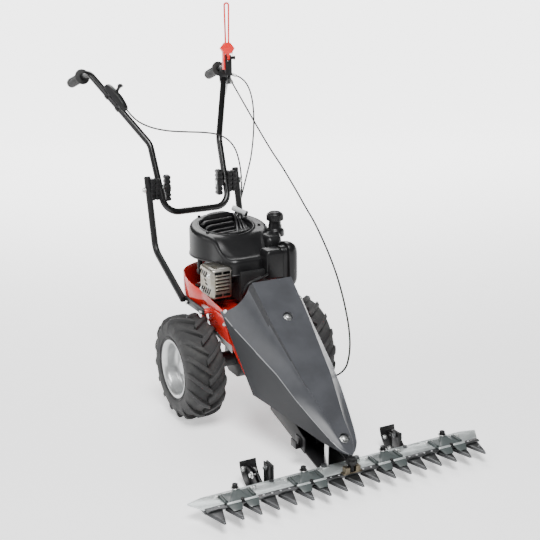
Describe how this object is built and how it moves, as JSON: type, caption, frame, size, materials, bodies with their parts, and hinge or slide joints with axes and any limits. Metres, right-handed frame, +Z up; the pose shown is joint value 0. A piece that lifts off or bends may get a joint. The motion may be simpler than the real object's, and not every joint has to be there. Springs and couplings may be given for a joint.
{
  "type": "sickle bar mower",
  "caption": "Walk-behind sickle bar mower: petrol engine on a red chassis, slate nose cover, tractor tyres, toothed reciprocating knife bar and a bent tube handle.",
  "frame": {"origin": "middle of the footprint, from the tooth tips to the grip ends, on the ground", "axes": "+Z up, the cutter bar faces -Y, +X to the right hand of an onlooker who faces the bar from -Y"},
  "size_m": [0.923, 1.5556, 1.2404],
  "materials": {
    "red_paint": "gloss",
    "slate_plastic": "satin",
    "black_plastic": "satin",
    "black_paint": "satin",
    "gloss_black": "gloss",
    "silver_paint": "satin",
    "holder_paint": "satin",
    "zinc": "satin",
    "galvanised": "satin",
    "dark_steel": "rough",
    "steel": "machined",
    "heat_steel": "satin",
    "cast_alloy": "as cast",
    "cast_black": "painted",
    "driver_brass": "satin",
    "black_rubber": "matte",
    "tyre_rubber": "matte",
    "red_plastic": "gloss",
    "grey_plastic": "satin"
  },
  "bodies": {
    "chassis": {"chassis_frame": "red_paint", "side_guards": "zinc", "carrier_arm": "black_paint", "front_cover": "slate_plastic", "cover_bolts": "zinc", "nose_stay": "zinc", "gearbox_housing": "cast_black", "engine_block": "cast_alloy", "blower_housing": "black_plastic", "starter_cover": "black_plastic", "fuel_tank": "black_plastic", "carburettor": "cast_alloy", "air_filter_base": "black_plastic", "air_filter_cover": "black_plastic", "muffler": "heat_steel", "muffler_guard": "heat_steel", "spark_plug": "black_rubber", "frame_bolts": "zinc", "lower_tubes": "black_paint", "clamp_blocks": "black_plastic", "back_plate": "galvanised", "comb_bar": "dark_steel", "comb_teeth": "dark_steel", "knife_holders": "holder_paint", "bar_bolts": "dark_steel", "skid_brackets": "black_paint", "belts": "black_rubber", "cable_glands": "black_plastic", "knife_cable": "black_rubber", "control_cables": "black_rubber"},
    "wheel_left": {"tyre_left": "tyre_rubber", "rim_left": "silver_paint"},
    "wheel_right": {"tyre_right": "tyre_rubber", "rim_right": "silver_paint"},
    "axle": {"drive_axle": "steel"},
    "crank": {"crankshaft": "steel", "flywheel": "cast_alloy", "engine_pulley": "steel"},
    "eccentric": {"knife_shaft": "steel"},
    "gear_input": {"gearbox_pulley": "steel"},
    "knife": {"knife_back": "dark_steel", "knife_sections": "dark_steel", "knife_driver": "driver_brass"},
    "rocker": {"rocker_arm": "black_paint"},
    "knife_tensioner": {"knife_idler": "steel"},
    "traction_tensioner": {"traction_idler": "steel"},
    "handle": {"upper_handle": "gloss_black", "clamp_rings": "black_plastic", "grips": "black_rubber", "throttle_housing": "black_plastic", "lever_bracket": "black_plastic"},
    "throttle": {"throttle_lever": "black_plastic"},
    "deadman": {"deadman_lever": "red_plastic"},
    "clutch": {"clutch_lever": "steel"},
    "left_knob": {"knob_left": "black_plastic"},
    "right_knob": {"knob_right": "black_plastic"},
    "recoil_grip": {"starter_grip": "grey_plastic"},
    "filler_cap": {"fuel_cap": "black_plastic"},
    "left_skid": {"skid_left": "black_paint"},
    "right_skid": {"skid_right": "black_paint"}
  },
  "joints": [
    {"name": "wheel_left_spin", "type": "hinge", "parent": "chassis", "child": "wheel_left", "pos_m": [-0.193, -0.0648, 0.165], "axis": [1, 0, 0], "continuous": true},
    {"name": "wheel_right_spin", "type": "hinge", "parent": "chassis", "child": "wheel_right", "pos_m": [0.193, -0.0648, 0.165], "axis": [1, 0, 0], "continuous": true},
    {"name": "crank_spin", "type": "hinge", "parent": "chassis", "child": "crank", "pos_m": [0, 0.0402, 0.4], "axis": [0, 0, 1], "continuous": true},
    {"name": "axle_spin", "type": "hinge", "parent": "chassis", "child": "axle", "pos_m": [0, -0.0648, 0.165], "axis": [1, 0, 0], "continuous": true},
    {"name": "eccentric_spin", "type": "hinge", "parent": "chassis", "child": "eccentric", "pos_m": [0, -0.3948, 0.2], "axis": [0, 0, 1], "continuous": true},
    {"name": "gear_input_spin", "type": "hinge", "parent": "chassis", "child": "gear_input", "pos_m": [0, -0.0648, 0.23], "axis": [0, 0, 1], "continuous": true},
    {"name": "knife_stroke", "type": "slide", "parent": "chassis", "child": "knife", "axis": [1, 0, 0], "range_m": [-0.025, 0.025]},
    {"name": "rocker_swing", "type": "hinge", "parent": "chassis", "child": "rocker", "pos_m": [0, -0.5348, 0.122], "axis": [0, 0, 1], "range_deg": [-9, 9]},
    {"name": "handle_tilt", "type": "hinge", "parent": "chassis", "child": "handle", "pos_m": [0, 0.31848, 0.652], "axis": [1, 0, 0], "range_deg": [-20, 15], "deforming": ["knife_cable", "control_cables"]},
    {"name": "throttle_turn", "type": "hinge", "parent": "handle", "child": "throttle", "pos_m": [-0.19837, 0.49826, 0.95266], "axis": [0.8596, 0.511, 0], "range_deg": [-30, 30]},
    {"name": "deadman_squeeze", "type": "hinge", "parent": "handle", "child": "deadman", "pos_m": [0.246, 0.5512, 1.046], "axis": [1, 0, 0], "range_deg": [-80, 0], "stiffness_Nm_per_rad": 1, "springref_deg": 20.05},
    {"name": "knife_tension", "type": "hinge", "parent": "chassis", "child": "knife_tensioner", "pos_m": [0.105, -0.1048, 0.287], "axis": [0, 0, 1], "range_deg": [-7, 0.1]},
    {"name": "clutch_pull", "type": "hinge", "parent": "handle", "child": "clutch", "pos_m": [0.252, 0.5752, 0.962], "axis": [1, 0, 0], "range_deg": [0, 45], "stiffness_Nm_per_rad": 0.8, "springref_deg": -20.05},
    {"name": "traction_tension", "type": "hinge", "parent": "chassis", "child": "traction_tensioner", "pos_m": [-0.078, 0.0782, 0.259], "axis": [0, 0, 1], "range_deg": [-0.1, 5.5]},
    {"name": "knob_left_turn", "type": "hinge", "parent": "chassis", "child": "left_knob", "pos_m": [-0.096, 0.31848, 0.652], "axis": [1, 0, 0], "continuous": true},
    {"name": "knob_right_turn", "type": "hinge", "parent": "chassis", "child": "right_knob", "pos_m": [0.096, 0.31848, 0.652], "axis": [1, 0, 0], "continuous": true},
    {"name": "recoil_pull", "type": "slide", "parent": "chassis", "child": "recoil_grip", "axis": [0, 0.8211, 0.5708], "range_m": [0, 0.5], "stiffness_N_per_m": 20, "springref_m": -0.3},
    {"name": "filler_cap_turn", "type": "hinge", "parent": "chassis", "child": "filler_cap", "pos_m": [0.134, -0.0208, 0.6], "axis": [0, 0, 1], "range_deg": [0, 90]},
    {"name": "skid_left_height", "type": "slide", "parent": "chassis", "child": "left_skid", "axis": [0, 0, 1], "range_m": [0, 0.025]},
    {"name": "skid_right_height", "type": "slide", "parent": "chassis", "child": "right_skid", "axis": [0, 0, 1], "range_m": [0, 0.025]}
  ],
  "couplings": [
    {"joint": "axle_spin", "follows": "crank_spin", "ratio": 0.013776},
    {"joint": "eccentric_spin", "follows": "crank_spin", "ratio": 0.58929},
    {"joint": "gear_input_spin", "follows": "crank_spin", "ratio": 0.55102},
    {"joint": "rocker_swing", "follows": "knife_stroke", "rad_per_m": 5.5897},
    {"joint": "knife_tension", "follows": "deadman_squeeze", "ratio": 0.085},
    {"joint": "traction_tension", "follows": "clutch_pull", "ratio": 0.113}
  ]
}
